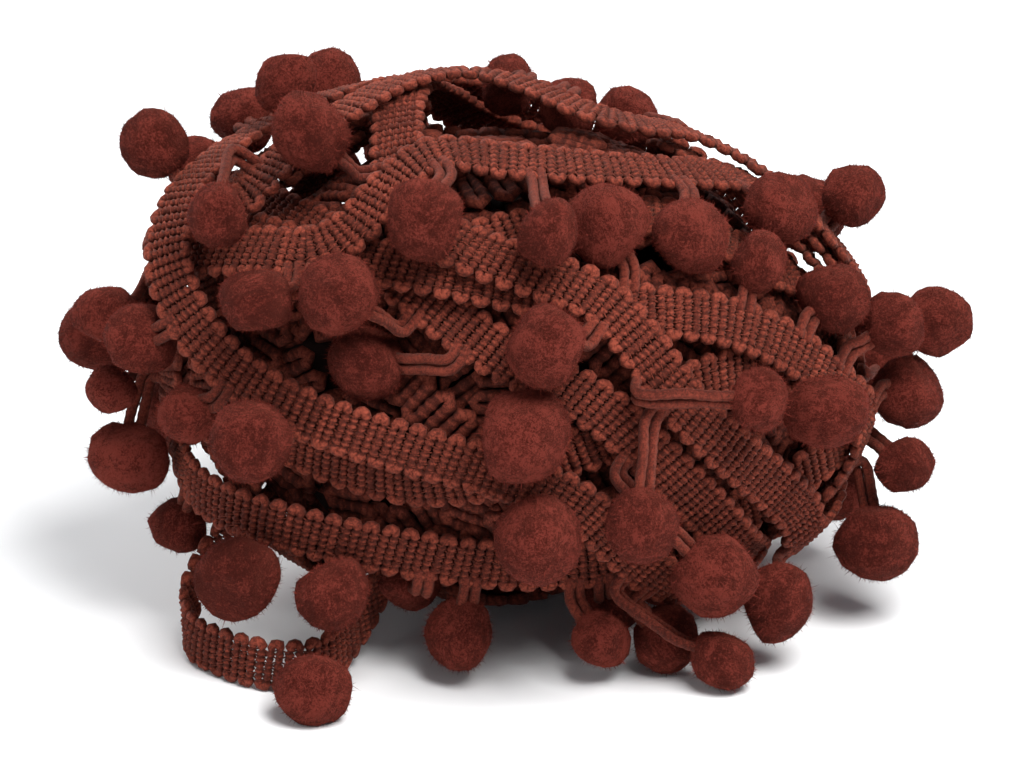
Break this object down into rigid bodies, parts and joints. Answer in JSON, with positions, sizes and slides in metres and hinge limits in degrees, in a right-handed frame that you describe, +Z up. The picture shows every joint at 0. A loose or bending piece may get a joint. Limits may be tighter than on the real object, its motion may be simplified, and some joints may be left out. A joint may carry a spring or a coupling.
{
  "type": "pompom fringe trim",
  "caption": "Pompom fringe trim wound into a loose ball: woven heading braid with felted wool pompoms hung from one edge on doubled loops.",
  "frame": {"origin": "centre of the flat spot under the ball, on the floor", "axes": "+X along the ball's longest way, to the right as seen from the show side; -Y towards the show side; +Z up"},
  "size_m": [0.164, 0.1245, 0.1038],
  "materials": {
    "braid_yarn": "matte",
    "pompom_pile": "matte"
  },
  "bodies": {
    "root": {"wound_braid": "braid_yarn", "fringe_inner_low": "pompom_pile", "fringe_middle": "pompom_pile", "fringe_right_sweep": "pompom_pile", "fringe_crossing": "pompom_pile", "fringe_second": "pompom_pile", "fringe_top": "pompom_pile", "fringe_left_sweep": "pompom_pile", "fringe_low_loop": "pompom_pile", "fringe_slack": "pompom_pile"}
  },
  "joints": []
}
